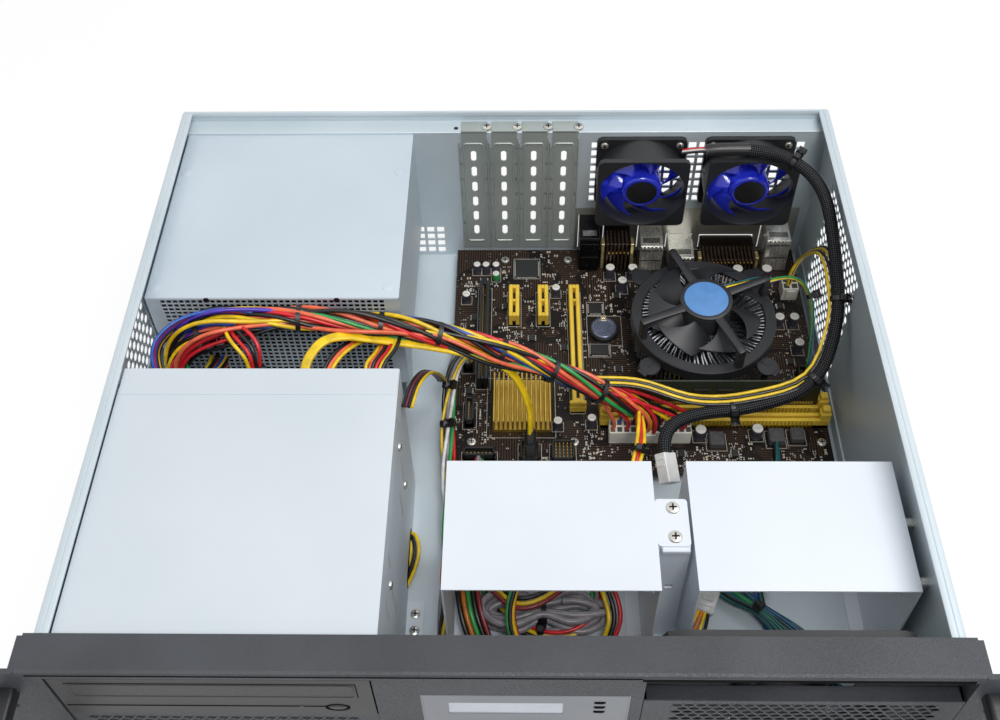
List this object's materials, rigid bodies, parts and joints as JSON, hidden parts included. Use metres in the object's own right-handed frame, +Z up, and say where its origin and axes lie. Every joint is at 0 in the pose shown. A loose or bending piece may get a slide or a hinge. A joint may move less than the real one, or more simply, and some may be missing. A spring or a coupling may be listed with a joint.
{
  "type": "rack server",
  "caption": "Rack server chassis standing open: sheet-metal body with dark front bezel, bow handles, drive cages, power supply, board with finned cooler, case fans and cabling.",
  "frame": {"origin": "middle of the base, on the surface the server stands on", "axes": "+X to the right seen from the front, +Y to the rear, +Z up"},
  "size_m": [0.4826, 0.418, 0.1325],
  "materials": {
    "steel": "zinc-plated sheet, pale blue-grey",
    "cage_white": "bright plated sheet",
    "bezel_grey": "finely textured dark grey",
    "panel_grey": "smooth grey",
    "black_plastic": "moulded black",
    "handle_black": "black coated bar",
    "blue_clear": "translucent blue",
    "display_glass": "tinted window",
    "drive_steel": "plated sheet",
    "board_brown": "coated laminate",
    "connector_mix": "moulded connectors",
    "port_metal": "plated",
    "heatsink_metal": "bright extruded",
    "heatsink_gold": "gold anodised",
    "cord_jacket": "soft jacket"
  },
  "bodies": {
    "chassis": {"bay_covers": "bezel_grey", "bezel_frame": "bezel_grey", "board_parts": "connector_mix", "board_slots": "connector_mix", "cage_lead": "cord_jacket", "cage_post": "cage_white", "chipset_heatsink": "heatsink_gold", "cooler_fan_frame": "black_plastic", "cooler_heatsink": "heatsink_metal", "cooler_lead": "cord_jacket", "data_cable": "cord_jacket", "display_module": "board_brown", "display_window": "display_glass", "drive_cage": "cage_white", "drive_lead": "cord_jacket", "fan_lead": "cord_jacket", "floor_pan": "steel", "front_fan_frame": "black_plastic", "front_fan_lead": "cord_jacket", "front_plate": "steel", "handle_left": "handle_black", "handle_right": "handle_black", "hdd_cage_left": "cage_white", "hdd_cage_right": "cage_white", "io_ports": "port_metal", "io_shield": "steel", "main_power_bundle": "cord_jacket", "memory_module": "board_brown", "motherboard": "board_brown", "optical_drive": "drive_steel", "optical_drive_bezel": "black_plastic", "panel_lead": "cord_jacket", "psu_base": "drive_steel", "psu_bracket": "drive_steel", "psu_cover": "drive_steel", "psu_fan_frame": "black_plastic", "psu_inlet": "black_plastic", "rack_ears": "steel", "rear_fan_left_frame": "black_plastic", "rear_fan_right_frame": "black_plastic", "rear_panel": "steel", "side_wall_left": "steel", "side_wall_right": "steel", "slot_covers": "steel", "standoffs_and_spacers": "port_metal", "status_panel": "panel_grey"},
    "rear_fan_left_rotor": {"rear_fan_left_rotor": "blue_clear"},
    "rear_fan_right_rotor": {"rear_fan_right_rotor": "blue_clear"},
    "front_fan_rotor": {"front_fan_rotor": "black_plastic"},
    "psu_fan_rotor": {"psu_fan_rotor": "black_plastic"},
    "cooler_rotor": {"cooler_rotor": "black_plastic"},
    "disc_tray": {"optical_drive_tray": "black_plastic"},
    "eject_button": {"eject_button": "black_plastic"},
    "fan_door": {"fan_door": "bezel_grey"},
    "panel_key_top": {"panel_key_top": "black_plastic"},
    "panel_key_middle": {"panel_key_middle": "black_plastic"},
    "panel_key_bottom": {"panel_key_bottom": "black_plastic"},
    "power_button": {"power_button": "black_plastic"},
    "reset_button": {"reset_button": "black_plastic"},
    "psu_switch": {"psu_switch": "black_plastic"}
  },
  "joints": [
    {"name": "rear_fan_left_rotor_spin", "type": "hinge", "parent": "chassis", "child": "rear_fan_left_rotor", "pos_m": [0.092, 0.18, 0.089], "axis": [0, 1, 0], "continuous": true},
    {"name": "rear_fan_right_rotor_spin", "type": "hinge", "parent": "chassis", "child": "rear_fan_right_rotor", "pos_m": [0.1639, 0.18, 0.089], "axis": [0, 1, 0], "continuous": true},
    {"name": "front_fan_rotor_spin", "type": "hinge", "parent": "chassis", "child": "front_fan_rotor", "pos_m": [0.138, -0.153, 0.062], "axis": [0, 1, 0], "continuous": true},
    {"name": "psu_fan_rotor_spin", "type": "hinge", "parent": "chassis", "child": "psu_fan_rotor", "pos_m": [-0.1064, 0.18, 0.078], "axis": [0, 1, 0], "continuous": true},
    {"name": "cooler_rotor_spin", "type": "hinge", "parent": "chassis", "child": "cooler_rotor", "pos_m": [0.1312, 0.103, 0.054], "axis": [0, 0, 1], "continuous": true},
    {"name": "disc_tray_slide", "type": "slide", "parent": "chassis", "child": "disc_tray", "axis": [0, -1, 0], "range_m": [0, 0.115]},
    {"name": "eject_button_press", "type": "slide", "parent": "chassis", "child": "eject_button", "axis": [0, 1, 0], "range_m": [0, 0.001], "stiffness_N_per_m": 800},
    {"name": "fan_door_hinge", "type": "hinge", "parent": "chassis", "child": "fan_door", "pos_m": [0.1425, -0.16925, 0.01215], "axis": [1, 0, 0], "range_deg": [0, 90]},
    {"name": "panel_key_top_press", "type": "slide", "parent": "chassis", "child": "panel_key_top", "axis": [0, 1, 0], "range_m": [0, 0.0008], "stiffness_N_per_m": 1000},
    {"name": "panel_key_middle_press", "type": "slide", "parent": "chassis", "child": "panel_key_middle", "axis": [0, 1, 0], "range_m": [0, 0.0008], "stiffness_N_per_m": 1000},
    {"name": "panel_key_bottom_press", "type": "slide", "parent": "chassis", "child": "panel_key_bottom", "axis": [0, 1, 0], "range_m": [0, 0.0008], "stiffness_N_per_m": 1000},
    {"name": "power_button_press", "type": "slide", "parent": "chassis", "child": "power_button", "axis": [0, 1, 0], "range_m": [0, 0.002], "stiffness_N_per_m": 400},
    {"name": "reset_button_press", "type": "slide", "parent": "chassis", "child": "reset_button", "axis": [0, 1, 0], "range_m": [0, 0.0015], "stiffness_N_per_m": 500},
    {"name": "psu_switch_rock", "type": "hinge", "parent": "chassis", "child": "psu_switch", "pos_m": [-0.1844, 0.1928, 0.065], "axis": [1, 0, 0], "range_deg": [-18, 0]}
  ]
}
